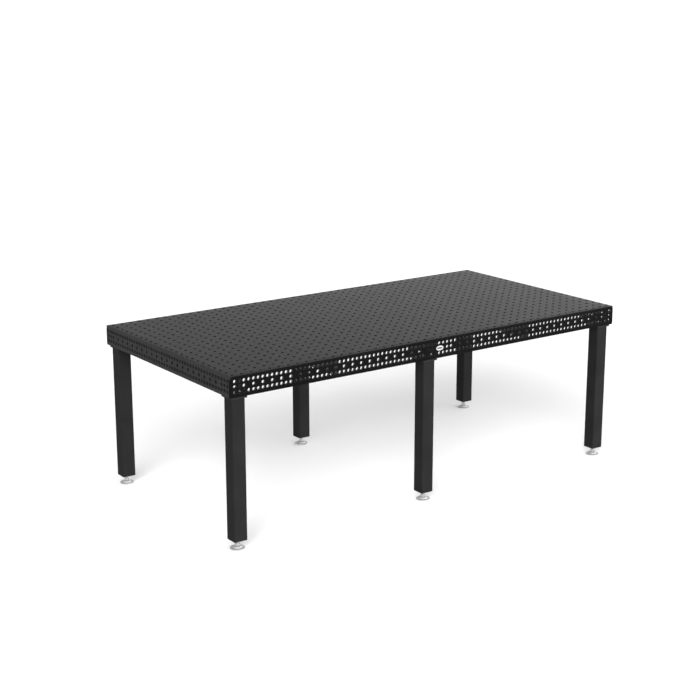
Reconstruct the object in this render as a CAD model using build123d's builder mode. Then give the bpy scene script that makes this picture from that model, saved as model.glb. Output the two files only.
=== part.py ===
"""Perforated steel welding table on six legs with levelling feet.

Frame: the origin is on the floor under the middle of the table top, +X runs along the long side,
+Y towards the rear long side and +Z up. Every length is in millimetres.
"""

import os
from math import sqrt

from build123d import *

os.makedirs("parts", exist_ok=True)

# ---- table body ----
table_length = 2400.0
table_width = 1200.0
table_height = 840.0
side_height = 100.0
plate_thickness = 12.0
corner_radius = 3.0

wall_height = side_height - plate_thickness
plate_underside = table_height - plate_thickness
wall_bottom = plate_underside - wall_height
wall_middle = wall_bottom + wall_height / 2
half_length = table_length / 2
half_width = table_width / 2

# ---- hole system ----
hole_radius = 8.0
hole_chamfer = 1.5
top_pitch = 50.0
side_pitch = 25.0
row_depths = (25.0, 50.0, 75.0)

# ---- badge ----
badge_length = 50.0
badge_height = 26.0
badge_thickness = 2.0
badge_rim = 2.5
badge_field_depth = 0.6
badge_gap = 0.3
badge_pocket_depth = 1.0

# ---- ribs ----
rib_thickness = 12.0
rib_depth = 83.0
cross_rib_right_faces = {"left": -600.0, "middle": 0.0, "right": 600.0}
long_rib_middles = {"front": -200.0, "rear": 200.0}
rib_slot_clearance = 0.4

# ---- leg mounting plates, corner posts and screws ----
mounting_plate_size = 100.0
mounting_plate_thickness = 12.0
post_diameter = 16.0
post_inset_x = 8.0
post_inset_y = 16.0
screw_diameter = 10.0
screw_hole_diameter = 11.0
screw_head_diameter = 16.0
screw_head_height = 10.0
screw_socket_width = 8.0
screw_socket_depth = 5.0
screw_length = 25.0
screw_spacing = 40.0
thread_clearance = 0.05

# ---- legs ----
leg_inset = 53.0
middle_leg_x = -50.0
leg_width = 70.0
leg_wall = 4.0
leg_corner_radius = 6.0
leg_bottom = 44.0
head_plate_size = 84.0
head_plate_thickness = 12.0
nut_plate_thickness = 12.0

head_plate_bottom = wall_bottom - head_plate_thickness
leg_bore_width = leg_width - 2 * leg_wall
leg_bore_radius = leg_corner_radius - leg_wall

# ---- levelling feet ----
spindle_diameter = 16.0
spindle_top = 114.0
spindle_point_chamfer = 1.5
collar_bottom = 16.8
collar_height = 6.5
collar_width = 24.0
neck_diameter = 8.0
neck_clearance = 0.05
neck_end_gap = 0.4
joint_height = 11.5
ball_radius = 7.5
ball_top_above_centre = 5.2
ball_bottom_below_centre = 6.0
seat_clearance = 0.3
seat_thickness = 1.2
seat_top_above_centre = 2.0
pad_diameter = 70.0
pad_rim_height = 5.0
pad_rim_chamfer = 1.0
pad_bottom_chamfer = 0.6
dome_foot_diameter = 44.0
dome_foot_height = 6.0
dome_shoulder_diameter = 35.0
dome_shoulder_height = 11.5
dome_top_diameter = 21.0
dome_top_height = 14.0

leg_positions = {
    "front_left": (leg_inset - half_length, leg_inset - half_width),
    "front_middle": (middle_leg_x, leg_inset - half_width),
    "front_right": (half_length - leg_inset, leg_inset - half_width),
    "rear_left": (leg_inset - half_length, half_width - leg_inset),
    "rear_middle": (middle_leg_x, half_width - leg_inset),
    "rear_right": (half_length - leg_inset, half_width - leg_inset),
}


def write(part, name):
    """Label a finished piece and write its STEP file."""
    part.label = name
    export_step(part, f"parts/{name}.step")
    print(name, "written")


# ---- top plate: a square grid of clamping holes, half a pitch in from each edge ----
with BuildPart() as top_plate:
    with BuildSketch(Plane.XY.offset(plate_underside)):
        RectangleRounded(table_length, table_width, corner_radius)
        with GridLocations(top_pitch, top_pitch, int(table_length / top_pitch), int(table_width / top_pitch)):
            Circle(hole_radius, mode=Mode.SUBTRACT)
    extrude(amount=plate_thickness)
write(top_plate.part, "top_plate")


# ---- side walls: three rows of holes, the middle row at every other column ----
def wall_holes(span, extra_columns, blank_columns):
    """Hole centres on one wall, as (distance along from its middle, height)."""
    columns = range(1, int(span / side_pitch))
    upper, middle, lower = (table_height - depth for depth in row_depths)
    outer_rows = [(column * side_pitch - span / 2, z) for column in columns for z in (upper, lower)]
    middle_columns = [c for c in columns if (c % 2 == 1 or c in extra_columns) and c not in blank_columns]
    return outer_rows + [(column * side_pitch - span / 2, middle) for column in middle_columns]


def side_wall(outer_plane, length, holes):
    """A wall whose outer face lies on outer_plane, drilled and chamfered from both sides."""
    with BuildPart() as wall:
        with BuildSketch(outer_plane):
            with Locations((0, wall_middle)):
                Rectangle(length, wall_height)
            with Locations(*holes):
                Circle(hole_radius, mode=Mode.SUBTRACT)
        extrude(amount=-plate_thickness)
        chamfer(wall.edges().filter_by(GeomType.CIRCLE), length=hole_chamfer)
    return wall


long_columns = int(table_length / side_pitch)
end_columns = int(table_width / side_pitch)
badge_column = long_columns // 2
long_end_columns = (2, long_columns - 2)
end_wall_length = table_width - 2 * plate_thickness
badge_z = table_height - row_depths[1]

front_plane = Plane(origin=(0, -half_width, 0), x_dir=(1, 0, 0), z_dir=(0, -1, 0))
rear_plane = Plane(origin=(0, half_width, 0), x_dir=(-1, 0, 0), z_dir=(0, 1, 0))
left_plane = Plane(origin=(-half_length, 0, 0), x_dir=(0, -1, 0), z_dir=(-1, 0, 0))
right_plane = Plane(origin=(half_length, 0, 0), x_dir=(0, 1, 0), z_dir=(1, 0, 0))

# The front wall carries the badge, so its middle row is blank there and has an extra hole each side.
beside_badge = (badge_column - 1, badge_column, badge_column + 1)
front_holes = wall_holes(
    table_length,
    long_end_columns + (badge_column - 2, badge_column + 2),
    beside_badge,
)
front_wall = side_wall(front_plane, table_length, front_holes)
with BuildSketch(front_plane) as badge_pocket:
    with Locations((0, badge_z)):
        Ellipse(badge_length / 2 + badge_gap, badge_height / 2 + badge_gap)
with front_wall:
    extrude(badge_pocket.sketch, amount=-badge_pocket_depth, mode=Mode.SUBTRACT)
    vertical_corners = front_wall.edges().filter_by(Axis.Z).group_by(Axis.Y)[0]
    fillet(vertical_corners, radius=corner_radius)
write(front_wall.part, "front_wall")

rear_wall = side_wall(rear_plane, table_length, wall_holes(table_length, long_end_columns, ()))
with rear_wall:
    vertical_corners = rear_wall.edges().filter_by(Axis.Z).group_by(Axis.Y)[-1]
    fillet(vertical_corners, radius=corner_radius)
write(rear_wall.part, "rear_wall")

end_holes = wall_holes(table_width, (2, end_columns - 2), ())
left_wall = side_wall(left_plane, end_wall_length, end_holes)
write(left_wall.part, "left_wall")
right_wall = side_wall(right_plane, end_wall_length, end_holes)
write(right_wall.part, "right_wall")

# ---- badge: a blank oval plate with a raised rim, bonded into its pocket ----
badge_face_plane = front_plane.offset(badge_thickness - badge_pocket_depth)
with BuildPart() as badge:
    with BuildSketch(front_plane.offset(-badge_pocket_depth)):
        with Locations((0, badge_z)):
            Ellipse(badge_length / 2, badge_height / 2)
    extrude(amount=badge_thickness)
    with BuildSketch(badge_face_plane):
        with Locations((0, badge_z)):
            Ellipse(badge_length / 2 - badge_rim, badge_height / 2 - badge_rim)
    extrude(amount=-badge_field_depth, mode=Mode.SUBTRACT)
write(badge.part, "badge_plate")

# ---- ribs under the top: cross ribs slotted from below, long ribs slotted from above ----
rib_middle_z = plate_underside - rib_depth / 2
slot_width = rib_thickness + rib_slot_clearance
slot_depth = rib_depth / 2

for side, right_face in cross_rib_right_faces.items():
    rib_plane = Plane(origin=(right_face, 0, 0), x_dir=(0, 1, 0), z_dir=(1, 0, 0))
    with BuildPart() as cross_rib:
        with BuildSketch(rib_plane):
            with Locations((0, rib_middle_z)):
                Rectangle(end_wall_length, rib_depth)
            with Locations(*[(y, rib_middle_z - slot_depth / 2) for y in long_rib_middles.values()]):
                Rectangle(slot_width, slot_depth, mode=Mode.SUBTRACT)
        extrude(amount=-rib_thickness)
    write(cross_rib.part, f"cross_rib_{side}")

for side, middle_y in long_rib_middles.items():
    rib_plane = Plane(origin=(0, middle_y - rib_thickness / 2, 0), x_dir=(1, 0, 0), z_dir=(0, -1, 0))
    slot_middles = [x - rib_thickness / 2 for x in cross_rib_right_faces.values()]
    with BuildPart() as long_rib:
        with BuildSketch(rib_plane):
            with Locations((0, rib_middle_z)):
                Rectangle(table_length - 2 * plate_thickness, rib_depth)
            with Locations(*[(x, rib_middle_z + slot_depth / 2) for x in slot_middles]):
                Rectangle(slot_width, slot_depth, mode=Mode.SUBTRACT)
        extrude(amount=-rib_thickness)
    write(long_rib.part, f"long_rib_{side}")


# ---- mounting plates and the posts that tie their free corners to the top plate ----
def plate_centre(leg_name):
    """Centre of the mounting plate over a leg: in a corner, or against the middle cross rib."""
    inner_reach = plate_thickness + mounting_plate_size / 2
    row, column = leg_name.split("_")
    y = inner_reach - half_width if row == "front" else half_width - inner_reach
    columns = {
        "left": inner_reach - half_length,
        "middle": cross_rib_right_faces["middle"] - rib_thickness - mounting_plate_size / 2,
        "right": half_length - inner_reach,
    }
    return (columns[column], y)


def post_centre(leg_name):
    """Axis of the post near the mounting plate's free corner."""
    x, y = plate_centre(leg_name)
    towards_x = -1 if x > 0 or leg_name.endswith("middle") else 1
    towards_y = 1 if y < 0 else -1
    half_plate = mounting_plate_size / 2
    return (x + towards_x * (half_plate - post_inset_x), y + towards_y * (half_plate - post_inset_y))


def screw_centres(leg_position):
    """The four screw axes around a leg's centre."""
    x, y = leg_position
    reach = screw_spacing / 2
    return [(x + sx * reach, y + sy * reach) for sx in (-1, 1) for sy in (-1, 1)]


all_screws = [centre for position in leg_positions.values() for centre in screw_centres(position)]
mounting_plate_top = wall_bottom + mounting_plate_thickness

with BuildPart() as mounting_plates:
    with BuildSketch(Plane.XY.offset(wall_bottom)):
        with Locations(*[plate_centre(leg_name) for leg_name in leg_positions]):
            Rectangle(mounting_plate_size, mounting_plate_size)
        with Locations(*all_screws):
            Circle(screw_hole_diameter / 2, mode=Mode.SUBTRACT)
    extrude(amount=mounting_plate_thickness)
write(mounting_plates.part, "mounting_plates")

with BuildPart() as corner_posts:
    with BuildSketch(Plane.XY.offset(mounting_plate_top)):
        with Locations(*[post_centre(leg_name) for leg_name in leg_positions]):
            Circle(post_diameter / 2)
    extrude(amount=plate_underside - mounting_plate_top)
write(corner_posts.part, "corner_posts")

with BuildPart() as leg_screws:
    with BuildSketch(Plane.XY.offset(mounting_plate_top - screw_length)):
        with Locations(*all_screws):
            Circle(screw_diameter / 2)
    extrude(amount=screw_length)
    with BuildSketch(Plane.XY.offset(mounting_plate_top)):
        with Locations(*all_screws):
            Circle(screw_head_diameter / 2)
    extrude(amount=screw_head_height)
    with BuildSketch(Plane.XY.offset(mounting_plate_top + screw_head_height)):
        with Locations(*all_screws):
            RegularPolygon(screw_socket_width / 2, 6, major_radius=False)
    extrude(amount=-screw_socket_depth, mode=Mode.SUBTRACT)
write(leg_screws.part, "leg_screws")


# ---- legs: head plate, square tube and threaded nut plate at the bottom ----
for leg_name, leg_position in leg_positions.items():
    with BuildPart() as head_plate:
        with BuildSketch(Plane.XY.offset(head_plate_bottom)):
            with Locations(leg_position):
                Rectangle(head_plate_size, head_plate_size)
            with Locations(*screw_centres(leg_position)):
                Circle(screw_diameter / 2 + thread_clearance, mode=Mode.SUBTRACT)
        extrude(amount=head_plate_thickness)
    write(head_plate.part, f"leg_head_plate_{leg_name}")

    with BuildPart() as leg_tube:
        with BuildSketch(Plane.XY.offset(leg_bottom)):
            with Locations(leg_position):
                RectangleRounded(leg_width, leg_width, leg_corner_radius)
                RectangleRounded(leg_bore_width, leg_bore_width, leg_bore_radius, mode=Mode.SUBTRACT)
        extrude(amount=head_plate_bottom - leg_bottom)
    write(leg_tube.part, f"leg_tube_{leg_name}")

    with BuildPart() as nut_plate:
        with BuildSketch(Plane.XY.offset(leg_bottom)):
            with Locations(leg_position):
                RectangleRounded(leg_bore_width, leg_bore_width, leg_bore_radius)
                Circle(spindle_diameter / 2 + thread_clearance, mode=Mode.SUBTRACT)
        extrude(amount=nut_plate_thickness)
    write(nut_plate.part, f"leg_nut_plate_{leg_name}")


# ---- levelling feet: spindle, ball, seat and pad, all round the leg's axis ----
def on_sphere(radius, above_centre):
    """(radius, height) of a point on a sphere about the foot's swivel point."""
    return (sqrt(radius**2 - above_centre**2), joint_height + above_centre)


def sphere_arc(radius, start, end):
    """Arc of a sphere about the swivel point, between two heights above that point."""
    return ThreePointArc(
        on_sphere(radius, start),
        on_sphere(radius, (start + end) / 2),
        on_sphere(radius, end),
    )


seat_bore_radius = ball_radius + seat_clearance
seat_radius = seat_bore_radius + seat_thickness
socket_radius = seat_radius + seat_clearance
neck_bottom = joint_height - ball_bottom_below_centre + neck_end_gap
ball_bore_radius = neck_diameter / 2 + neck_clearance
collar_top = collar_bottom + collar_height
pad_radius = pad_diameter / 2
dome_foot = (dome_foot_diameter / 2, dome_foot_height)
dome_shoulder = (dome_shoulder_diameter / 2, dome_shoulder_height)
dome_top = (dome_top_diameter / 2, dome_top_height)

for leg_name, leg_position in leg_positions.items():
    x, y = leg_position
    foot_axis = Axis((x, y, 0), (0, 0, 1))
    outline_plane = Plane(origin=(x, y, 0), x_dir=(1, 0, 0), z_dir=(0, -1, 0))

    with BuildPart() as spindle:
        with BuildSketch(Plane.XY.offset(neck_bottom)):
            with Locations(leg_position):
                Circle(neck_diameter / 2)
        extrude(amount=collar_bottom - neck_bottom)
        with BuildSketch(Plane.XY.offset(collar_bottom)):
            with Locations(leg_position):
                RegularPolygon(collar_width / 2, 6, major_radius=False)
        extrude(amount=collar_height)
        with BuildSketch(Plane.XY.offset(collar_top)):
            with Locations(leg_position):
                Circle(spindle_diameter / 2)
        extrude(amount=spindle_top - collar_top)
        point_edge = spindle.edges().filter_by(GeomType.CIRCLE).sort_by(Axis.Z)[-1]
        chamfer(point_edge, length=spindle_point_chamfer)
    write(spindle.part, f"foot_spindle_{leg_name}")

    with BuildPart() as ball:
        with BuildSketch(outline_plane):
            with BuildLine():
                bulge = sphere_arc(ball_radius, -ball_bottom_below_centre, ball_top_above_centre)
                bore_bottom = (ball_bore_radius, joint_height - ball_bottom_below_centre)
                bore_top = (ball_bore_radius, joint_height + ball_top_above_centre)
                Polyline(bulge @ 1, bore_top, bore_bottom, bulge @ 0)
            make_face()
        revolve(axis=foot_axis)
    write(ball.part, f"foot_ball_{leg_name}")

    with BuildPart() as seat:
        with BuildSketch(outline_plane):
            with BuildLine():
                outside = sphere_arc(seat_radius, -seat_radius, seat_top_above_centre)
                inside = sphere_arc(seat_bore_radius, -seat_bore_radius, seat_top_above_centre)
                Line(outside @ 1, inside @ 1)
                Line(outside @ 0, inside @ 0)
            make_face()
        revolve(axis=foot_axis)
    write(seat.part, f"foot_seat_{leg_name}")

    with BuildPart() as pad:
        with BuildSketch(outline_plane):
            with BuildLine():
                socket = sphere_arc(socket_radius, -socket_radius, dome_top_height - joint_height)
                Polyline(
                    socket @ 0,
                    (0, 0),
                    (pad_radius - pad_bottom_chamfer, 0),
                    (pad_radius, pad_bottom_chamfer),
                    (pad_radius, pad_rim_height - pad_rim_chamfer),
                    (pad_radius - pad_rim_chamfer, pad_rim_height),
                    dome_foot,
                )
                ThreePointArc(dome_foot, dome_shoulder, dome_top)
                Line(dome_top, socket @ 1)
            make_face()
        revolve(axis=foot_axis)
    write(pad.part, f"foot_pad_{leg_name}")
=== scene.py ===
"""Looks of the welding table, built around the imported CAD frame. Every length is in metres."""

import math
import random

import bmesh
import bpy
from mathutils import Euler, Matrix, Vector


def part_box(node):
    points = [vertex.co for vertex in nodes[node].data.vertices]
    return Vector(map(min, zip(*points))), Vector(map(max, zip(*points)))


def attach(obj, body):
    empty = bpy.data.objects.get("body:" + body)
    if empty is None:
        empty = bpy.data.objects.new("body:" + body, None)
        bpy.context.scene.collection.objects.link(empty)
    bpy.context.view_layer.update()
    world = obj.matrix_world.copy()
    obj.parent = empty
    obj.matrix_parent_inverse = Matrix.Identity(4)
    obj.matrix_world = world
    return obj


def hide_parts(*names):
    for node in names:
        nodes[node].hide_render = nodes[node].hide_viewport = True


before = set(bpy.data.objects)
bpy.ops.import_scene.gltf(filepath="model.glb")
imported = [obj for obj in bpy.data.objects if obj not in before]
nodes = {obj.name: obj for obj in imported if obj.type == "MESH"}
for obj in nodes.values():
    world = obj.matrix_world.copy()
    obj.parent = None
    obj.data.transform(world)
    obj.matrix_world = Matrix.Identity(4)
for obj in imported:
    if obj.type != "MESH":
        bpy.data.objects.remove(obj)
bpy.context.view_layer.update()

MM = 0.001
LEG_NAMES = [f"{row}_{column}" for row in ("front", "rear") for column in ("left", "middle", "right")]

# ---- outer sizes, read from the frame ----
top_low, top_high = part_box("top_plate")
half_length = top_high.x
half_width = top_high.y
plate = top_high.z - top_low.z
wall_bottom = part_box("front_wall")[0].z

# ---- hole grid, with the same values as in the CAD ----
hole_radius = 8 * MM
top_pitch = 50 * MM
side_pitch = 25 * MM
row_depths = (25 * MM, 50 * MM, 75 * MM)

# ---- hole chamfers of the looks: the CAD has 1.5 mm in the walls and none in the top ----
hole_chamfer = 1.4 * MM
top_hole_chamfer = 1.5 * MM


# ---------------------------------------------------------------- materials
def new_material(name):
    """An empty node material with its Principled shader: (material, nodes, links, shader)."""
    material = bpy.data.materials.new(name)
    material.use_nodes = True
    tree = material.node_tree
    return material, tree.nodes, tree.links, tree.nodes["Principled BSDF"]


def noise(tree_nodes, links, coords, scale, detail=4.0, roughness=0.55, stretch=None):
    """A noise texture on object coordinates, stretched along an axis if asked."""
    texture = tree_nodes.new("ShaderNodeTexNoise")
    texture.inputs["Scale"].default_value = scale
    texture.inputs["Detail"].default_value = detail
    texture.inputs["Roughness"].default_value = roughness
    if stretch:
        mapping = tree_nodes.new("ShaderNodeMapping")
        mapping.inputs["Scale"].default_value = stretch
        links.new(coords, mapping.inputs["Vector"])
        coords = mapping.outputs["Vector"]
    links.new(coords, texture.inputs["Vector"])
    return texture.outputs["Fac"]


def ramp(tree_nodes, links, value, stops):
    """A colour ramp from (position, colour) stops."""
    node = tree_nodes.new("ShaderNodeValToRGB")
    elements = node.color_ramp.elements
    while len(elements) < len(stops):
        elements.new(0.5)
    for element, (position, colour) in zip(elements, stops):
        element.position = position
        element.color = (*colour, 1.0)
    links.new(value, node.inputs["Fac"])
    return node.outputs["Color"]


def calc(tree_nodes, links, operation, *values):
    """A math node fed with numbers or sockets."""
    node = tree_nodes.new("ShaderNodeMath")
    node.operation = operation
    for socket, value in zip(node.inputs, values):
        if isinstance(value, (int, float)):
            socket.default_value = value
        else:
            links.new(value, socket)
    return node.outputs[0]


def blend(tree_nodes, links, factor, base, colour):
    """The base colour, with a fixed colour over it by a factor."""
    node = tree_nodes.new("ShaderNodeMix")
    node.data_type = "RGBA"
    links.new(factor, node.inputs["Factor"])
    links.new(base, node.inputs[6])
    node.inputs[7].default_value = (*colour, 1.0)
    return node.outputs[2]


def turned_coords(tree_nodes, links, coords, angle):
    """Coordinates turned about the vertical axis."""
    node = tree_nodes.new("ShaderNodeVectorRotate")
    node.rotation_type = "Z_AXIS"
    node.inputs["Angle"].default_value = angle
    links.new(coords, node.inputs["Vector"])
    return node.outputs["Vector"]


def map_range(tree_nodes, links, value, source, target=(0.0, 1.0)):
    """Maps the source range to the target range, and holds it at both ends."""
    node = tree_nodes.new("ShaderNodeMapRange")
    node.inputs["From Min"].default_value, node.inputs["From Max"].default_value = source
    node.inputs["To Min"].default_value, node.inputs["To Max"].default_value = target
    links.new(value, node.inputs["Value"])
    return node.outputs["Result"]


def bump(tree_nodes, links, shader, heights):
    """Chains bump nodes from (value, strength, distance) into the shader's normal."""
    normal = None
    for value, strength, distance in heights:
        node = tree_nodes.new("ShaderNodeBump")
        node.inputs["Strength"].default_value = strength
        node.inputs["Distance"].default_value = distance
        links.new(value, node.inputs["Height"])
        if normal is not None:
            links.new(normal, node.inputs["Normal"])
        normal = node.outputs["Normal"]
    links.new(normal, shader.inputs["Normal"])


def grey(value, warmth=0.0):
    """A near-neutral colour, a little warm or cool."""
    return (value * (1 + warmth), value, value * (1 - warmth))


NOISE_MIDDLE = (0.3, 0.7)  # where most of a noise's values lie
LONG_GRAIN = (0.08, 1.0, 1.0)
CROSS_GRAIN = (1.0, 0.08, 1.0)
BORE_GRAIN = (1.0, 1.0, 0.1)
EVEN_GRAIN = (1.0, 1.0, 1.0)
STEEL_CLOUD_SCALE = 7.0
STREAK_SCALE = 60.0
STREAK_SHARE = 0.45
TOOTH_SCALE = 900.0
TOOTH_DEPTH = 0.02 * MM
STREAK_DEPTH = 0.05 * MM
SCRATCH_SCALE = 130.0
SCRATCH_STRETCH = (0.02, 1.6, 1.0)
SCRATCH_TURNS = (0.35, -0.6)
SCRATCH_EDGES = (0.66, 0.7)
SCRATCH_LIFT = 1.35
LEVEL_EDGES = (0.5, 0.9)


def scratch_mask(tree_nodes, links, coords):
    """Two families of fine straight scratches, on level faces only."""
    families = []
    for turn in SCRATCH_TURNS:
        turned = turned_coords(tree_nodes, links, coords, turn)
        lines = noise(tree_nodes, links, turned, SCRATCH_SCALE, 2.0, 0.5, SCRATCH_STRETCH)
        families.append(map_range(tree_nodes, links, lines, SCRATCH_EDGES))
    normal = tree_nodes.new("ShaderNodeSeparateXYZ")
    links.new(tree_nodes.new("ShaderNodeNewGeometry").outputs["Normal"], normal.inputs[0])
    upright = calc(tree_nodes, links, "ABSOLUTE", normal.outputs["Z"])
    level = map_range(tree_nodes, links, upright, LEVEL_EDGES)
    return calc(tree_nodes, links, "MULTIPLY", calc(tree_nodes, links, "MAXIMUM", *families), level)


def steel(name, dark, light, metallic, rough, specular, grain=LONG_GRAIN):
    """Dark treated steel: cloudy tone, drawn-out rolling streaks, scratches, fine tooth and uneven gloss."""
    material, tree_nodes, links, shader = new_material(name)
    coords = tree_nodes.new("ShaderNodeTexCoord").outputs["Object"]
    clouds = noise(tree_nodes, links, coords, STEEL_CLOUD_SCALE, 5.0)
    streaks = noise(tree_nodes, links, coords, STREAK_SCALE, 3.0, 0.6, grain)
    tooth = noise(tree_nodes, links, coords, TOOTH_SCALE, 2.0)
    faded = calc(tree_nodes, links, "MULTIPLY", clouds, 1 - STREAK_SHARE)
    tone = calc(tree_nodes, links, "MULTIPLY_ADD", streaks, STREAK_SHARE, faded)
    base = ramp(tree_nodes, links, tone, [(0.36, dark), (0.64, light)])
    worn = [channel * SCRATCH_LIFT for channel in light]
    scratched = blend(tree_nodes, links, scratch_mask(tree_nodes, links, coords), base, worn)
    links.new(scratched, shader.inputs["Base Color"])
    links.new(map_range(tree_nodes, links, tone, NOISE_MIDDLE, rough), shader.inputs["Roughness"])
    shader.inputs["Metallic"].default_value = metallic
    shader.inputs["Specular IOR Level"].default_value = specular
    bump(tree_nodes, links, shader, [(streaks, 0.12, STREAK_DEPTH), (tooth, 0.3, TOOTH_DEPTH)])
    return material


top_steel = steel("nitrided_top", grey(0.0136), grey(0.0206), 0.0, (0.26, 0.34), 0.0022)
# Painted light: the end walls are the same nitrided steel as the long walls, painted far lighter as if lit
# from the left.
end_wall_painted_light_steel = steel(
    "end_walls_painted_light", grey(0.0148), grey(0.0195), 0.0, (0.45, 0.6), 0.02, CROSS_GRAIN
)
# Painted shade: the front and rear walls are the same nitrided steel as the end walls, painted about ten
# times darker as if in shade.
long_wall_painted_shade_steel = steel("long_walls_painted_shade", grey(0.0014), grey(0.0022), 0.0, (0.45, 0.6), 0.02)
bore_steel = steel("wall_bores", grey(0.055), grey(0.075), 1.0, (0.3, 0.42), 0.5, BORE_GRAIN)
# Painted shade: the top plate's bores are its own steel painted about five times darker, as the shade inside
# the holes.
top_bore_painted_shade_steel = steel("top_bores_painted_shade", grey(0.0025), grey(0.0045), 0.0, (0.35, 0.5), 0.02, BORE_GRAIN)
top_edge_steel = steel("top_hole_edges", grey(0.009), grey(0.018), 0.1, (0.3, 0.45), 0.05)
wall_edge_steel = steel("wall_hole_edges", grey(0.005), grey(0.012), 0.1, (0.35, 0.5), 0.05)
# Painted shade: the end walls' bores are their steel painted darker, as the shade inside the holes.
end_bore_painted_shade_steel = steel("end_wall_bores_painted_shade", grey(0.0075), grey(0.012), 0.0, (0.4, 0.55), 0.05, BORE_GRAIN)
rib_steel = steel("rib_plate", grey(0.046), grey(0.072), 0.0, (0.5, 0.68), 0.15)
weld_steel = steel("weld_bead", grey(0.05, 0.02), grey(0.11, 0.03), 0.6, (0.35, 0.55), 0.4, EVEN_GRAIN)

WEAR_WIDTH = 1.2 * MM
WEAR_LIFT = 1.7
WEAR_EDGES = (0.92, 0.6)
WEAR_PATCH_SCALE = 45.0
WEAR_PATCH_EDGES = (0.42, 0.62)


def edge_wear(tree_nodes, links, coords, base, light):
    """Rubs the outer edges lighter in patches."""
    corners = tree_nodes.new("ShaderNodeAmbientOcclusion")
    corners.inside = True
    corners.only_local = True
    corners.samples = 4
    corners.inputs["Distance"].default_value = WEAR_WIDTH
    rubbed = map_range(tree_nodes, links, corners.outputs["AO"], WEAR_EDGES)
    spots = noise(tree_nodes, links, coords, WEAR_PATCH_SCALE, 3.0)
    patches = map_range(tree_nodes, links, spots, WEAR_PATCH_EDGES)
    mask = calc(tree_nodes, links, "MULTIPLY", rubbed, patches)
    return blend(tree_nodes, links, mask, base, [channel * WEAR_LIFT for channel in light])


COAT_CLOUD_SCALE = 9.0
COAT_GLOSS = (0.48, 0.62)
COAT_SPECULAR = 0.015
PEEL_SCALE = 520.0
PEEL_DEPTH = 0.08 * MM
POWDER_SCALE = 1800.0
POWDER_DEPTH = 0.02 * MM


def powder_coat(name, dark, light):
    """Black powder coat: fine orange peel, a slightly cloudy gloss and rubbed edges."""
    material, tree_nodes, links, shader = new_material(name)
    coords = tree_nodes.new("ShaderNodeTexCoord").outputs["Object"]
    clouds = noise(tree_nodes, links, coords, COAT_CLOUD_SCALE, 3.0)
    peel = noise(tree_nodes, links, coords, PEEL_SCALE, 2.0)
    grains = noise(tree_nodes, links, coords, POWDER_SCALE, 1.0)
    base = ramp(tree_nodes, links, clouds, [(0.35, dark), (0.65, light)])
    links.new(edge_wear(tree_nodes, links, coords, base, light), shader.inputs["Base Color"])
    links.new(map_range(tree_nodes, links, clouds, NOISE_MIDDLE, COAT_GLOSS), shader.inputs["Roughness"])
    shader.inputs["Specular IOR Level"].default_value = COAT_SPECULAR
    bump(tree_nodes, links, shader, [(peel, 0.35, PEEL_DEPTH), (grains, 0.2, POWDER_DEPTH)])
    return material


leg_coat = powder_coat("leg_powder_coat", grey(0.008), grey(0.0098))
# Painted light: the head plates wear the leg's powder coat painted lighter, as if lit on their front faces.
head_plate_painted_light_coat = powder_coat("head_plate_coat_painted_light", grey(0.0115), grey(0.0145))
# Painted shade: the leg beads are real welds, but their coat is painted darker than the legs to stand for the
# shadow under the head plate's overhang.
leg_bead_painted_shade_coat = powder_coat("leg_bead_coat_painted_shade", grey(0.003), grey(0.0045))

SPANGLE_SCALE = 160.0
TURNING_SCALE = 700.0
TURNING_STRETCH = (0.05, 0.05, 3.0)
TURNING_DEPTH = 0.02 * MM
METAL_SPECULAR = 0.3


def bright_metal(name, dark, light, rough, metallic, turned=False):
    """Plated or bare bright metal, with turning marks if it came off a lathe."""
    material, tree_nodes, links, shader = new_material(name)
    coords = tree_nodes.new("ShaderNodeTexCoord").outputs["Object"]
    spangle = noise(tree_nodes, links, coords, SPANGLE_SCALE, 3.0)
    marks = noise(tree_nodes, links, coords, TURNING_SCALE, 2.0, 0.5, TURNING_STRETCH if turned else None)
    links.new(ramp(tree_nodes, links, spangle, [(0.35, dark), (0.65, light)]), shader.inputs["Base Color"])
    links.new(map_range(tree_nodes, links, spangle, NOISE_MIDDLE, rough), shader.inputs["Roughness"])
    shader.inputs["Metallic"].default_value = metallic
    shader.inputs["Specular IOR Level"].default_value = METAL_SPECULAR
    bump(tree_nodes, links, shader, [(marks, 0.15, TURNING_DEPTH)])
    return material


zinc = bright_metal("zinc_plate", grey(0.2), grey(0.25), (0.42, 0.55), 0.12, turned=True)
screw_zinc = bright_metal("screw_zinc", grey(0.46), grey(0.55), (0.35, 0.5), 0.3, turned=True)
bronze = bright_metal("seat_bronze", (0.3, 0.18, 0.08), (0.4, 0.25, 0.11), (0.35, 0.5), 0.8, turned=True)
badge_bezel_metal = bright_metal("badge_bezel", grey(0.003), grey(0.006), (0.45, 0.6), 0.1)
badge_rim_metal = bright_metal("badge_rim", grey(0.28), grey(0.31), (0.4, 0.5), 0.3)
badge_field_metal = bright_metal("badge_field", grey(0.05), grey(0.06), (0.45, 0.55), 0.3)


def set_materials(piece, *materials):
    """Gives a piece its material slots. Clearing resets the faces' slots, so a fresh mesh isn't cleared."""
    if piece.data.materials:
        piece.data.materials.clear()
    for material in materials:
        piece.data.materials.append(material)


# ---------------------------------------------------------------- mesh helpers
def new_piece(name, mesh, body, slot_name, *materials):
    """Puts a finished mesh on a CAD body."""
    piece = bpy.data.objects.new(name, mesh)
    bpy.context.scene.collection.objects.link(piece)
    set_materials(piece, *materials)
    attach(piece, body)
    return piece


def finish_mesh(mesh, sharp_angle=32.0):
    """Smooth shading with sharp edges kept."""
    for polygon in mesh.polygons:
        polygon.use_smooth = True
    mesh.set_sharp_from_angle(angle=math.radians(sharp_angle))


BORE, INNER, EDGE, LONG_SIDE, END_SIDE = 1, 2, 3, 4, 5


BEVEL_STEPS = 4


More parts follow.
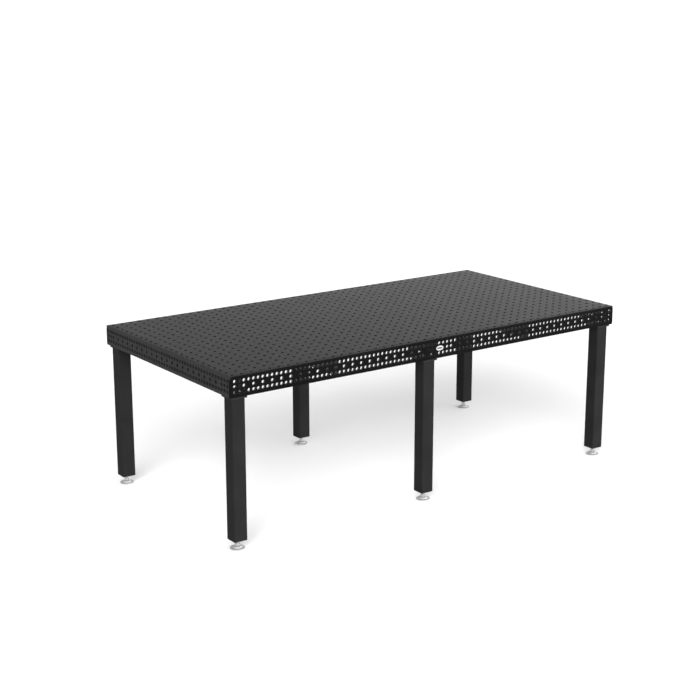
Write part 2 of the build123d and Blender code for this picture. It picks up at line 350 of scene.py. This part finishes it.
def drilled_slab(
    name, us, vs, holes, thickness, place, rounded, chamfer=hole_chamfer, segments=24, side_slots=(0, 0)
):
    """A plate drilled at the marked cells of the grid us x vs.

    holes holds (column, row) cells, place maps (u, v, depth) to the row frame, depth 0 on the outer
    face, and rounded lists (test on an outer face's edge middle, radius)."""
    shape = bmesh.new()
    known = {}

    def vertex(u, v, depth):
        key = (round(u, 6), round(v, 6), round(depth, 6))
        if key not in known:
            known[key] = shape.verts.new(key)
        return known[key]

    def ring(cu, cv, radius, depth):
        return [
            vertex(
                cu + radius * math.cos(2 * math.pi * (i + 0.5) / segments),
                cv + radius * math.sin(2 * math.pi * (i + 0.5) / segments),
                depth,
            )
            for i in range(segments)
        ]

    quarter = segments // 4
    wide = hole_radius + chamfer
    for column in range(len(us) - 1):
        for row in range(len(vs) - 1):
            u0, u1, v0, v1 = us[column], us[column + 1], vs[row], vs[row + 1]
            if (column, row) not in holes:
                for depth in (0.0, thickness):
                    corners = [vertex(u, v, depth) for u, v in ((u0, v0), (u1, v0), (u1, v1), (u0, v1))]
                    face = shape.faces.new(corners if depth == 0.0 else corners[::-1])
                    face.material_index = 0 if depth == 0.0 else INNER
                continue
            cu, cv = holes[(column, row)]
            rings = [
                ring(cu, cv, wide, 0.0),
                ring(cu, cv, hole_radius, chamfer),
                ring(cu, cv, hole_radius, thickness - chamfer),
                ring(cu, cv, wide, thickness),
            ]
            for depth, rim in ((0.0, rings[0]), (thickness, rings[3])):
                corners = [vertex(u, v, depth) for u, v in ((u1, v1), (u0, v1), (u0, v0), (u1, v0))]
                for side in range(4):
                    # from the diagonal at this corner to the diagonal at the next one
                    first = side * quarter + quarter // 2
                    arc = [rim[(first + step - 1) % segments] for step in range(quarter + 1)]
                    outline = [corners[side], corners[(side + 1) % 4]] + arc[::-1]
                    face = shape.faces.new(outline if depth == 0.0 else outline[::-1])
                    face.material_index = 0 if depth == 0.0 else INNER
            for upper, lower, slot_index in zip(rings[:-1], rings[1:], (EDGE, BORE, EDGE)):
                for i in range(segments):
                    j = (i + 1) % segments
                    face = shape.faces.new((upper[i], upper[j], lower[j], lower[i]))
                    face.material_index = slot_index

    def side_face(start, end, material_index):
        corners = (vertex(*start, 0.0), vertex(*end, 0.0), vertex(*end, thickness), vertex(*start, thickness))
        shape.faces.new(corners).material_index = material_index

    for a, b in zip(us[:-1], us[1:]):
        side_face((b, vs[0]), (a, vs[0]), side_slots[0])
        side_face((a, vs[-1]), (b, vs[-1]), side_slots[0])
    for a, b in zip(vs[:-1], vs[1:]):
        side_face((us[0], a), (us[0], b), side_slots[1])
        side_face((us[-1], b), (us[-1], a), side_slots[1])
    for test, radius in rounded:
        shape.edges.ensure_lookup_table()
        chosen = [
            e for e in shape.edges if len(e.link_faces) == 2 and test((e.verts[0].co + e.verts[1].co) / 2, e)
        ]
        bmesh.ops.bevel(
            shape,
            geom=chosen,
            offset=radius,
            segments=BEVEL_STEPS,
            profile=0.5,
            affect="EDGES",
            clamp_overlap=False,
        )
    for v in shape.verts:
        v.co = Vector(place(*v.co))
    bmesh.ops.recalc_face_normals(shape, faces=shape.faces)
    mesh = bpy.data.meshes.new(name)
    shape.to_mesh(mesh)
    shape.free()
    finish_mesh(mesh)
    return mesh


ON_AXIS = 1e-7  # a ring no wider than this is a single point


def lathe(name, rings, segments, radius_at=None, close_ends=True):
    """A closed surface of revolution about Z.

    rings holds (radius, height), and radius_at may change a ring's radius with the angle."""
    shape = bmesh.new()
    loops = []
    for index, (radius, height) in enumerate(rings):
        if radius <= ON_AXIS:
            loops.append([shape.verts.new((0.0, 0.0, height))])
            continue
        loop = []
        for i in range(segments):
            angle = 2 * math.pi * i / segments
            r = radius_at(index, angle, radius, height) if radius_at else radius
            loop.append(shape.verts.new((r * math.cos(angle), r * math.sin(angle), height)))
        loops.append(loop)
    pairs = list(zip(loops[:-1], loops[1:]))
    if not close_ends:
        pairs.append((loops[-1], loops[0]))
    for a, b in pairs:
        for i in range(segments):
            j = (i + 1) % segments
            corners = [a[i % len(a)], a[j % len(a)], b[j % len(b)], b[i % len(b)]]
            unique = list(dict.fromkeys(corners))
            if len(unique) >= 3:
                shape.faces.new(unique)
    bmesh.ops.recalc_face_normals(shape, faces=shape.faces)
    mesh = bpy.data.meshes.new(name)
    shape.to_mesh(mesh)
    shape.free()
    finish_mesh(mesh)
    return mesh


# ---------------------------------------------------------------- camera
CAMERA_PLACE = (-4.375, -5.877, 2.573)
CAMERA_PITCH = 14.69
CAMERA_AZIMUTH = 35.98
CAMERA_LENS = 74.17
SENSOR_WIDTH = 36.0
CLIP_END = 1000.0
camera_data = bpy.data.cameras.new("camera")
camera_data.lens = CAMERA_LENS
camera_data.sensor_width = SENSOR_WIDTH
camera_data.clip_end = CLIP_END
camera = bpy.data.objects.new("camera", camera_data)
camera.location = CAMERA_PLACE
camera.rotation_euler = Euler((math.radians(90 - CAMERA_PITCH), 0, math.radians(-CAMERA_AZIMUTH)))
bpy.context.scene.collection.objects.link(camera)
bpy.context.scene.camera = camera

# ---------------------------------------------------------------- top plate
columns = round(2 * half_length / top_pitch)
rows = round(2 * half_width / top_pitch)
top_us = [-half_length + i * top_pitch for i in range(columns + 1)]
top_vs = [-half_width + i * top_pitch for i in range(rows + 1)]
top_holes = {
    (i, j): (top_us[i] + top_pitch / 2, top_vs[j] + top_pitch / 2)
    for i in range(columns)
    for j in range(rows)
}
TINY = 1e-5
corner_radius = 3 * MM
edge_radius = 1 * MM
lower_edge_radius = 1.5 * MM
end_wall_corner = 0.3 * MM
TOP_HOLE_SEGMENTS = 20


def on_corner(middle, edge):
    """A vertical corner edge of the top plate's blank."""
    return abs(abs(middle.x) - half_length) < TINY and abs(abs(middle.y) - half_width) < TINY


def on_outer_rim(middle, edge):
    """An edge of the outer face that lies on the plate's outline."""
    if abs(edge.verts[0].co.z) > TINY or abs(edge.verts[1].co.z) > TINY:
        return False
    near_end = abs(middle.x) > half_length - corner_radius - TINY
    near_side = abs(middle.y) > half_width - corner_radius - TINY
    return any(abs(f.normal.z) < 0.5 for f in edge.link_faces) and (near_end or near_side)


top_mesh = drilled_slab(
    "top_plate_fine",
    top_us,
    top_vs,
    top_holes,
    plate,
    lambda u, v, depth: (u, v, top_high.z - depth),
    [(on_corner, corner_radius), (on_outer_rim, edge_radius)],
    chamfer=top_hole_chamfer,
    segments=TOP_HOLE_SEGMENTS,
    side_slots=(LONG_SIDE, END_SIDE),
)
top_piece = new_piece(
    "top_plate_drilled",
    top_mesh,
    "table",
    "nitrided_top",
    top_steel,
    # Painted shade in the bores.
    top_bore_painted_shade_steel,
    rib_steel,
    top_edge_steel,
    # Painted shade: the top plate's long side faces take the darkened long wall steel.
    long_wall_painted_shade_steel,
    # Painted light: the top plate's end side faces take the lightened end wall steel.
    end_wall_painted_light_steel,
)
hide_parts("top_plate")


# ---------------------------------------------------------------- side walls
def wall_grid(span, extra, blank, margin):
    """Grid lines along and up a wall, and its holes, in (distance from the middle, height)."""
    count = round(span / side_pitch)
    us = [(i - 0.5) * side_pitch - span / 2 for i in range(1, count + 1)]
    us = [-span / 2 + margin] + us + [span / 2 - margin]
    heights = [top_high.z - depth for depth in row_depths][::-1]
    vs = [wall_bottom] + [z - side_pitch / 2 for z in heights] + [heights[-1] + side_pitch / 2, top_low.z]
    holes = {}
    for k in range(1, count):
        for row, z in enumerate(heights):
            middle_row = row == 1
            if middle_row and ((k % 2 == 0 and k not in extra) or k in blank):
                continue
            holes[(k, row + 1)] = (k * side_pitch - span / 2, z)
    return us, vs, holes


def wall_piece(name, node, span, extra, blank, margin, place, corner, material, bores):
    """A finely drilled wall in place of a CAD wall."""
    us, vs, holes = wall_grid(span, extra, blank, margin)
    end = span / 2 - margin

    def on_end(middle, edge):
        return abs(abs(middle.x) - end) < TINY and abs(middle.z) < TINY

    def on_lower_edge(middle, edge):
        return abs(middle.y - vs[0]) < TINY and abs(middle.z) < TINY

    rounded = [(on_end, corner), (on_lower_edge, lower_edge_radius)]
    mesh = drilled_slab(name + "_mesh", us, vs, holes, plate, place, rounded)
    piece = new_piece(name, mesh, "table", "nitrided_walls", material, bores, rib_steel, wall_edge_steel)
    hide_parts(node)
    return piece


span_long = 2 * half_length
span_end = 2 * half_width
long_count = round(span_long / side_pitch)
end_count = round(span_end / side_pitch)
badge_column = long_count // 2
wall_piece(
    "front_wall_drilled",
    "front_wall",
    span_long,
    (2, long_count - 2, badge_column - 2, badge_column + 2),
    (badge_column - 1, badge_column, badge_column + 1),
    0.0,
    lambda u, v, depth: (u, -half_width + depth, v),
    corner_radius,
    # Painted shade: the long walls take the same steel as the end walls, painted darker.
    long_wall_painted_shade_steel,
    bore_steel,
)
wall_piece(
    "rear_wall_drilled",
    "rear_wall",
    span_long,
    (2, long_count - 2),
    (),
    0.0,
    lambda u, v, depth: (-u, half_width - depth, v),
    corner_radius,
    long_wall_painted_shade_steel,
    bore_steel,
)
wall_piece(
    "left_wall_drilled",
    "left_wall",
    span_end,
    (2, end_count - 2),
    (),
    plate,
    lambda u, v, depth: (-half_length + depth, -u, v),
    end_wall_corner,
    # Painted light: the end walls take the same steel as the long walls, painted lighter.
    end_wall_painted_light_steel,
    # Painted shade in the end walls' bores.
    end_bore_painted_shade_steel,
)
wall_piece(
    "right_wall_drilled",
    "right_wall",
    span_end,
    (2, end_count - 2),
    (),
    plate,
    lambda u, v, depth: (half_length - depth, u, v),
    end_wall_corner,
    end_wall_painted_light_steel,
    end_bore_painted_shade_steel,
)

# ---------------------------------------------------------------- badge: dark bezel, raised rim, blank bar
badge_low, badge_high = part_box("badge_plate")
badge_half_length = (badge_high.x - badge_low.x) / 2
badge_half_height = (badge_high.z - badge_low.z) / 2
badge_middle = (badge_low + badge_high) / 2
BADGE_SEGMENTS = 72
FIELD_SHARE = 0.74
FIELD_FLATNESS = 0.52
BEZEL_SHARE = 0.905
FIELD, BEZEL = 1, 2
BADGE_SHARP_ANGLE = 50.0
badge_depth = badge_high.y - badge_low.y
# (share of the half sizes, height over the back)
badge_profile = [
    (0.0, 0.0),
    (1.0, 0.0),
    (1.0, 0.5),
    (0.985, 0.66),
    (0.93, 0.7),
    (0.905, 0.7),
    (0.9, 0.92),
    (0.87, 1.0),
    (0.83, 0.97),
    (0.82, 0.84),
    (0.8, 0.8),
    (0.78, 0.84),
    (0.74, 0.62),
    (0.4, 0.66),
    (0.0, 0.68),
]


def badge_mesh():
    """Elliptical rings from the back over the rim to the middle of the field."""
    shape = bmesh.new()
    loops = []
    for share, height in badge_profile:
        y = badge_high.y - height * badge_depth
        if share == 0.0:
            loops.append([shape.verts.new((badge_middle.x, y, badge_middle.z))])
            continue
        tall = badge_half_height * (share * FIELD_FLATNESS if share <= FIELD_SHARE else share)
        wide = badge_half_length * share
        loops.append(
            [
                shape.verts.new(
                    (
                        badge_middle.x + wide * math.cos(2 * math.pi * i / BADGE_SEGMENTS),
                        y,
                        badge_middle.z + tall * math.sin(2 * math.pi * i / BADGE_SEGMENTS),
                    )
                )
                for i in range(BADGE_SEGMENTS)
            ]
        )
    shares = [share for share, height in badge_profile]
    for index, (a, b) in enumerate(zip(loops[:-1], loops[1:])):
        on_field = index > 0 and shares[index] <= FIELD_SHARE
        on_bezel = index == 0 or shares[index + 1] >= BEZEL_SHARE
        for i in range(BADGE_SEGMENTS):
            j = (i + 1) % BADGE_SEGMENTS
            corners = list(dict.fromkeys([a[i % len(a)], a[j % len(a)], b[j % len(b)], b[i % len(b)]]))
            face = shape.faces.new(corners)
            if on_field:
                face.material_index = FIELD
            elif on_bezel:
                face.material_index = BEZEL
    bmesh.ops.recalc_face_normals(shape, faces=shape.faces)
    mesh = bpy.data.meshes.new("badge_mesh")
    shape.to_mesh(mesh)
    shape.free()
    finish_mesh(mesh, BADGE_SHARP_ANGLE)
    return mesh


badge_piece = new_piece(
    "badge_oval",
    badge_mesh(),
    "table",
    "badge_metal",
    badge_rim_metal,
    badge_field_metal,
    badge_bezel_metal,
)
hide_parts("badge_plate")

# ---------------------------------------------------------------- CAD nodes that stay, with their materials
CROSS_RIBS = ("cross_rib_left", "cross_rib_middle", "cross_rib_right")
LONG_RIBS = ("long_rib_front", "long_rib_rear")
for node in (*CROSS_RIBS, *LONG_RIBS, "mounting_plates", "corner_posts"):
    set_materials(nodes[node], rib_steel)
set_materials(nodes["leg_screws"], screw_zinc)
for leg in LEG_NAMES:
    # The head plates take the lightened copy of the leg coat, which is painted light.
    set_materials(nodes[f"leg_head_plate_{leg}"], head_plate_painted_light_coat)
    set_materials(nodes[f"leg_tube_{leg}"], leg_coat)
    set_materials(nodes[f"leg_nut_plate_{leg}"], leg_coat)

# ---------------------------------------------------------------- weld beads
BEAD_LEG = 3.2 * MM
BEAD_STEP = 0.8 * MM
RIPPLE_PITCH = 3.2 * MM
RIPPLE = 0.07
RIPPLE_NOISE = 0.03
BEAD_SHAPE = 1.3
BEAD_FACE_STEPS = 4
BEAD_ROOT = -0.05
BEAD_END_SHARE = 0.45
BEAD_END_GROWTH = 0.2
BEAD_SHARP_ANGLE = 60.0
CORNER_STEPS = 6
STITCH = 40 * MM
bead_random = random.Random(7)


def bead_section():
    """Cross-section in shares of the leg: the inner corner, then the convex face."""
    face = []
    for i in range(BEAD_FACE_STEPS + 1):
        angle = math.pi / 2 * i / BEAD_FACE_STEPS
        face.append((math.cos(angle) ** BEAD_SHAPE, max(0.0, math.sin(angle)) ** BEAD_SHAPE))
    return [(BEAD_ROOT, BEAD_ROOT)] + face


def bead_mesh(name, paths):
    """Rippled fillets along paths of (corner, direction on one surface, direction on the other)."""
    section = bead_section()
    size = len(section)
    verts, faces = [], []
    for path, closed in paths:
        first = len(verts)
        for index, (corner, one, other) in enumerate(path):
            wave = RIPPLE * math.sin(2 * math.pi * index * BEAD_STEP / RIPPLE_PITCH)
            ripple = 1 + wave + bead_random.uniform(-RIPPLE_NOISE, RIPPLE_NOISE)
            if not closed:
                steps_from_end = min(index, len(path) - 1 - index)
                ripple *= min(1.0, BEAD_END_SHARE + BEAD_END_GROWTH * steps_from_end)
            for a, b in section:
                verts.append(corner + (one * a + other * b) * BEAD_LEG * ripple)
        count = len(path)
        for i in range(count if closed else count - 1):
            here, there = first + i * size, first + (i + 1) % count * size
            for j in range(size):
                k = (j + 1) % size
                faces.append((here + j, here + k, there + k, there + j))
        if not closed:
            faces.append(tuple(first + j for j in range(size)))
            faces.append(tuple(first + (count - 1) * size + j for j in reversed(range(size))))
    mesh = bpy.data.meshes.new(name)
    mesh.from_pydata(verts, [], faces)
    shape = bmesh.new()
    shape.from_mesh(mesh)
    bmesh.ops.recalc_face_normals(shape, faces=shape.faces)
    shape.to_mesh(mesh)
    shape.free()
    finish_mesh(mesh, BEAD_SHARP_ANGLE)
    return mesh


def straight_bead(start, end, one, other):
    """An open path from start to end."""
    start, end = Vector(start), Vector(end)
    steps = max(4, round((end - start).length / BEAD_STEP))
    return [(start.lerp(end, i / steps), Vector(one), Vector(other)) for i in range(steps + 1)], False


def stitch(middle, along, one, other):
    """A short straight bead about its middle."""
    half = Vector(along) * STITCH / 2
    return straight_bead(Vector(middle) - half, Vector(middle) + half, one, other)


def round_bead(centre, radius, other):
    """A bead round a post, on the plate that the post stands on."""
    steps = round(2 * math.pi * radius / BEAD_STEP)
    path = []
    for i in range(steps):
        out = Vector((math.cos(2 * math.pi * i / steps), math.sin(2 * math.pi * i / steps), 0.0))
        path.append((Vector(centre) + out * radius, out, Vector(other)))
    return path, True


def square_bead(centre, half, corner, other):
    """A bead round a square tube with rounded corners."""
    path = []
    for quadrant in range(4):
        start_angle = math.pi / 2 * quadrant
        turn = (math.cos(start_angle + math.pi / 4), math.sin(start_angle + math.pi / 4))
        straight = half - corner
        arc_middle = Vector((math.copysign(straight, turn[0]), math.copysign(straight, turn[1]), 0.0))
        for i in range(CORNER_STEPS + 1):
            angle = start_angle + math.pi / 2 * i / CORNER_STEPS
            out = Vector((math.cos(angle), math.sin(angle), 0.0))
            path.append((Vector(centre) + arc_middle + out * corner, out, Vector(other)))
        # the straight side to the next corner
        along = Vector((-out.y, out.x, 0.0))
        begin = path[-1][0]
        length = 2 * straight
        steps = round(length / BEAD_STEP)
        for i in range(1, steps):
            path.append((begin + along * length * i / steps, out, Vector(other)))
    return path, True


ALONG_X, ALONG_Y, DOWN, UP = (1, 0, 0), (0, 1, 0), (0, 0, -1), (0, 0, 1)
under_top = top_low.z
inner_x = half_length - plate
inner_y = half_width - plate
STITCH_HALF_PITCH = 0.1
stitch_xs = [STITCH_HALF_PITCH * i for i in range(-11, 12, 2)]
stitch_ys = [STITCH_HALF_PITCH * i for i in range(-5, 6, 2)]
body_beads = []
for side in (-1, 1):
    wall_y, wall_x = side * inner_y, side * inner_x
    body_beads += [stitch((x, wall_y, under_top), ALONG_X, (0, -side, 0), DOWN) for x in stitch_xs]
    body_beads += [stitch((wall_x, y, under_top), ALONG_Y, (-side, 0, 0), DOWN) for y in stitch_ys]
for rib in CROSS_RIBS:
    low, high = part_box(rib)
    for x, side in ((low.x, -1), (high.x, 1)):
        body_beads += [stitch((x, y, under_top), ALONG_Y, (side, 0, 0), DOWN) for y in stitch_ys]
for rib in LONG_RIBS:
    low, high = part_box(rib)
    for y, side in ((low.y, -1), (high.y, 1)):
        body_beads += [stitch((x, y, under_top), ALONG_X, (0, side, 0), DOWN) for x in stitch_xs]

PLATE_SIZE = 100 * MM
PLATE_BEAD_INSET = 8 * MM
POST_RADIUS = 8 * MM
POST_REACH = (42 * MM, 34 * MM)
plate_top = wall_bottom + plate
middle_rib_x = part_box("cross_rib_middle")[0].x
for leg in LEG_NAMES:
    row, column = leg.split("_")
    in_y = 1 if row == "front" else -1
    in_x = 1 if column == "left" else -1
    wall_x = middle_rib_x if column == "middle" else -in_x * inner_x
    wall_y = -in_y * inner_y
    x, y = wall_x + in_x * PLATE_SIZE / 2, wall_y + in_y * PLATE_SIZE / 2
    reach = PLATE_SIZE / 2 - PLATE_BEAD_INSET
    start, end = (x - reach, wall_y, plate_top), (x + reach, wall_y, plate_top)
    body_beads.append(straight_bead(start, end, (0, in_y, 0), UP))
    start, end = (wall_x, y - reach, plate_top), (wall_x, y + reach, plate_top)
    body_beads.append(straight_bead(start, end, (in_x, 0, 0), UP))
    post = (x + in_x * POST_REACH[0], y + in_y * POST_REACH[1])
    body_beads.append(round_bead((*post, plate_top), POST_RADIUS, UP))
    body_beads.append(round_bead((*post, under_top), POST_RADIUS, DOWN))
new_piece("body_weld_beads", bead_mesh("body_weld_beads", body_beads), "table", "rib_steel", weld_steel)

leg_beads = []
TUBE_CORNER = 6 * MM
for leg in LEG_NAMES:
    low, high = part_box(f"leg_tube_{leg}")
    middle = (low + high) / 2
    half = (high.x - low.x) / 2
    leg_beads.append(square_bead((middle.x, middle.y, high.z), half, TUBE_CORNER, DOWN))
# The welds round the leg tops take the darkened coat, which is painted shade.
new_piece("leg_weld_beads", bead_mesh("leg_weld_beads", leg_beads), "table", "leg_coating", leg_bead_painted_shade_coat)

# ---------------------------------------------------------------- levelling feet
SWIVEL_HEIGHT = 11.5 * MM
PAD_SEGMENTS = 64
DOME_STEPS = 8
DOME_FOOT_HEIGHT = 6.1 * MM
DOME_RISE = 7.9 * MM
DOME_TOP_RADIUS = 10.5 * MM
DOME_OVERHANG = 11.3 * MM
DOME_WIDTH_POWER = 0.8
DOME_HEIGHT_POWER = 0.9
RIM_OUTER = (10.4 * MM, 14.0 * MM)
RIM_INNER = (9.2 * MM, 13.9 * MM)
SPINDLE_SEGMENTS = 36
BALL_SEGMENTS = 40
BALL_RADIUS = 7.5 * MM
BALL_BORE_RADIUS = 4.05 * MM
SEAT_INNER_RADIUS = 7.8 * MM
SEAT_OUTER_RADIUS = 9.0 * MM
SOCKET_RADIUS = 9.3 * MM
SOCKET_STEPS = 14
SPHERE_STEPS = 12
BALL_BELOW = 6.0 * MM
BALL_ABOVE = 5.2 * MM
# where each sphere is cut off, in degrees from straight down
BALL_BOTTOM_ANGLE = 36.9
BALL_TOP_ANGLE = 133.9
SEAT_OUTER_ANGLE = 102.8
SEAT_INNER_ANGLE = 104.8
SOCKET_ANGLE = 105.0
spindle_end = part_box("foot_spindle_front_left")[1].z


def arc_rings(radius, start, end, steps):
    """Rings on a sphere about the swivel point, between two angles from straight down, in degrees."""
    rings = []
    for i in range(steps + 1):
        angle = math.radians(start + (end - start) * i / steps)
        rings.append((radius * math.sin(angle), SWIVEL_HEIGHT - radius * math.cos(angle)))
    return rings


def pad_rings():
    """Foot pad: a disc with a rounded rim, a shallow groove, a domed hub and the socket inside."""
    outside = [
        (0.0, 0.0),
        (34.4, 0.0),
        (34.85, 0.2),
        (35.0, 0.6),
        (35.0, 3.9),
        (34.8, 4.5),
        (34.3, 4.9),
        (33.6, 5.0),
        (31.0, 4.75),
        (27.0, 4.85),
        (23.4, 5.4),
        (22.0, 6.1),
    ]
    rings = [(r * MM, z * MM) for r, z in outside]
    for i in range(1, DOME_STEPS):
        angle = math.pi / 2 * i / DOME_STEPS
        radius = DOME_TOP_RADIUS + DOME_OVERHANG * math.cos(angle) ** DOME_WIDTH_POWER
        rings.append((radius, DOME_FOOT_HEIGHT + DOME_RISE * math.sin(angle) ** DOME_HEIGHT_POWER))
    rings += [RIM_OUTER, RIM_INNER]
    return rings + arc_rings(SOCKET_RADIUS, SOCKET_ANGLE, 0.0, SOCKET_STEPS)


HEX_WIDTH = 24 * MM
COLLAR_BOTTOM = 16.8 * MM
COLLAR_TOP = 23.3 * MM
COLLAR_BEVEL = 0.9 * MM
COLLAR_FACE_RADIUS = 11.3 * MM
COLLAR_CORNER_RADIUS = 13.7 * MM
NECK_RADIUS = 4 * MM
NECK_BOTTOM = 5.9 * MM
NECK_BEVEL = 0.4 * MM
STEM_RADIUS = 8 * MM
FILLET_RADIUS = 8.3 * MM
FILLET_HEIGHT = 0.6 * MM
RELIEF_RADIUS = 7.2 * MM
END_RADII = (7.0 * MM, 6.2 * MM)


def hexagon(angle):
    """Distance from the axis to a hexagon's side at an angle, with corners on the X axis."""
    turned = (angle + math.pi / 6) % (math.pi / 3) - math.pi / 6
    return HEX_WIDTH / 2 / math.cos(math.pi / 6 - abs(turned))


THREAD_PITCH = 2 * MM
THREAD_DEPTH = 0.95 * MM
THREAD_START = COLLAR_TOP + 3 * MM
THREAD_LEAD_IN = 1 * MM
THREAD_END_GAP = 2 * MM
RINGS_PER_TURN = 6


def spindle_profile():
    """(radius, height, kind) of every ring from the neck up."""
    rings = [(0.0, NECK_BOTTOM, "plain"), (NECK_RADIUS - NECK_BEVEL, NECK_BOTTOM, "plain")]
    rings += [(NECK_RADIUS, NECK_BOTTOM + NECK_BEVEL, "plain"), (NECK_RADIUS, COLLAR_BOTTOM, "plain")]
    rings += [(COLLAR_FACE_RADIUS, COLLAR_BOTTOM, "plain")]
    rings += [(HEX_WIDTH / 2, COLLAR_BOTTOM + COLLAR_BEVEL, "hex")]
    rings += [(HEX_WIDTH / 2, COLLAR_TOP - COLLAR_BEVEL, "hex")]
    rings += [(COLLAR_FACE_RADIUS, COLLAR_TOP, "plain"), (FILLET_RADIUS, COLLAR_TOP, "plain")]
    rings += [(RELIEF_RADIUS, COLLAR_TOP + FILLET_HEIGHT, "plain")]
    rings += [(RELIEF_RADIUS, THREAD_START - THREAD_LEAD_IN, "plain")]
    turns = int((spindle_end - THREAD_END_GAP - THREAD_START) / THREAD_PITCH)
    for i in range(turns * RINGS_PER_TURN + 1):
        rings.append((STEM_RADIUS, THREAD_START + i * THREAD_PITCH / RINGS_PER_TURN, "thread"))
    rings += [(END_RADII[0], spindle_end - THREAD_LEAD_IN, "plain"), (END_RADII[1], spindle_end, "plain")]
    rings.append((0.0, spindle_end, "plain"))
    return rings


spindle_rings = spindle_profile()


def spindle_radius(index, angle, radius, height):
    """Hexagon on the collar, and a helical V thread on the stem."""
    kind = spindle_rings[index][2]
    if kind == "hex":
        return min(hexagon(angle), COLLAR_CORNER_RADIUS)
    if kind == "thread":
        phase = (height / THREAD_PITCH - angle / (2 * math.pi)) % 1.0
        return radius - THREAD_DEPTH * (1 - abs(2 * phase - 1))
    return radius


spindle_outline = [(radius, height) for radius, height, kind in spindle_rings]
spindle_mesh = lathe("spindle_mesh", spindle_outline, SPINDLE_SEGMENTS, spindle_radius)
pad_mesh = lathe("pad_mesh", pad_rings(), PAD_SEGMENTS)
ball_profile = (
    [(BALL_BORE_RADIUS, SWIVEL_HEIGHT - BALL_BELOW)]
    + arc_rings(BALL_RADIUS, BALL_BOTTOM_ANGLE, BALL_TOP_ANGLE, SPHERE_STEPS)
    + [(BALL_BORE_RADIUS, SWIVEL_HEIGHT + BALL_ABOVE)]
)
ball_mesh = lathe("ball_mesh", ball_profile, BALL_SEGMENTS, close_ends=False)
seat_outside = arc_rings(SEAT_OUTER_RADIUS, 0.0, SEAT_OUTER_ANGLE, SPHERE_STEPS)
seat_inside = arc_rings(SEAT_INNER_RADIUS, SEAT_INNER_ANGLE, 0.0, SPHERE_STEPS)
seat_mesh = lathe("seat_mesh", seat_outside + seat_inside, BALL_SEGMENTS)


def foot_piece(part_name, leg, mesh, material):
    """One fine foot piece in place of its CAD node."""
    low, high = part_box(f"foot_{part_name}_{leg}")
    piece = bpy.data.objects.new(f"foot_{part_name}_{leg}_fine", mesh)
    bpy.context.scene.collection.objects.link(piece)
    set_materials(piece, material)
    piece.location = ((low.x + high.x) / 2, (low.y + high.y) / 2, 0.0)
    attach(piece, f"{leg}_{part_name}")
    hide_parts(f"foot_{part_name}_{leg}")


for leg in LEG_NAMES:
    foot_piece("spindle", leg, spindle_mesh, zinc)
    foot_piece("ball", leg, ball_mesh, zinc)
    foot_piece("seat", leg, seat_mesh, bronze)
    foot_piece("pad", leg, pad_mesh, zinc)

# ---------------------------------------------------------------- stage: floor, lights and world
floor_mesh = bpy.data.meshes.new("floor_mesh")
FLOOR_REACH = 300.0
FLOOR_TONE = 0.8
floor_signs = ((-1, -1), (1, -1), (1, 1), (-1, 1))
floor_mesh.from_pydata([(x * FLOOR_REACH, y * FLOOR_REACH, 0) for x, y in floor_signs], [], [(0, 1, 2, 3)])
floor = bpy.data.objects.new("floor", floor_mesh)
bpy.context.scene.collection.objects.link(floor)
floor_material, _, _, floor_shader = new_material("floor_pale")
floor_shader.inputs["Base Color"].default_value = (FLOOR_TONE, FLOOR_TONE, FLOOR_TONE, 1)
floor_shader.inputs["Roughness"].default_value = 0.9
floor_shader.inputs["Specular IOR Level"].default_value = 0.0
set_materials(floor, floor_material)

# A soft studio dome: a bright band just above the horizon and a broad key light behind the camera.
BAND_RADIANCE = 7.6
BAND_ELEVATION = math.radians(6.2)
BAND_SPREAD = math.radians(11.1)
KEY_RADIANCE = 12.4
KEY_FOCUS = 22.5
KEY_AZIMUTH = math.radians(224.0)
KEY_ELEVATION = math.radians(31.7)
BAND_LEAN = (0.42, -0.77, 0.0)
LEAN_FLOOR = 0.05
KEY_DIRECTION = (
    math.cos(KEY_ELEVATION) * math.cos(KEY_AZIMUTH),
    math.cos(KEY_ELEVATION) * math.sin(KEY_AZIMUTH),
    math.sin(KEY_ELEVATION),
)


def studio_dome():
    """World shader whose brightness depends only on the direction."""
    dome = bpy.data.worlds.new("studio_dome")
    dome.use_nodes = True
    tree_nodes, links = dome.node_tree.nodes, dome.node_tree.links

    def value_of(operation, *values):
        return calc(tree_nodes, links, operation, *values)

    direction = tree_nodes.new("ShaderNodeTexCoord").outputs["Generated"]
    split = tree_nodes.new("ShaderNodeSeparateXYZ")
    links.new(direction, split.inputs[0])
    elevation = value_of("ARCSINE", split.outputs["Z"])
    offset = value_of("DIVIDE", value_of("SUBTRACT", elevation, BAND_ELEVATION), BAND_SPREAD)
    band = value_of("EXPONENT", value_of("MULTIPLY", value_of("MULTIPLY", offset, offset), -0.5))

    def facing(axis):
        node = tree_nodes.new("ShaderNodeVectorMath")
        node.operation = "DOT_PRODUCT"
        node.inputs[1].default_value = axis
        links.new(direction, node.inputs[0])
        return node.outputs["Value"]

    lean = value_of("MAXIMUM", value_of("ADD", facing(BAND_LEAN), 1.0), LEAN_FLOOR)
    falloff = value_of("MULTIPLY", value_of("SUBTRACT", facing(KEY_DIRECTION), 1.0), KEY_FOCUS)
    key = value_of("MULTIPLY", value_of("EXPONENT", falloff), KEY_RADIANCE)
    band = value_of("MULTIPLY", value_of("MULTIPLY", band, lean), BAND_RADIANCE)
    total = value_of("ADD", band, key)
    links.new(total, tree_nodes["Background"].inputs["Strength"])
    tree_nodes["Background"].inputs["Color"].default_value = (1.0, 1.0, 1.0, 1.0)
    return dome


bpy.context.scene.world = studio_dome()
bpy.context.scene.view_settings.view_transform = "Standard"
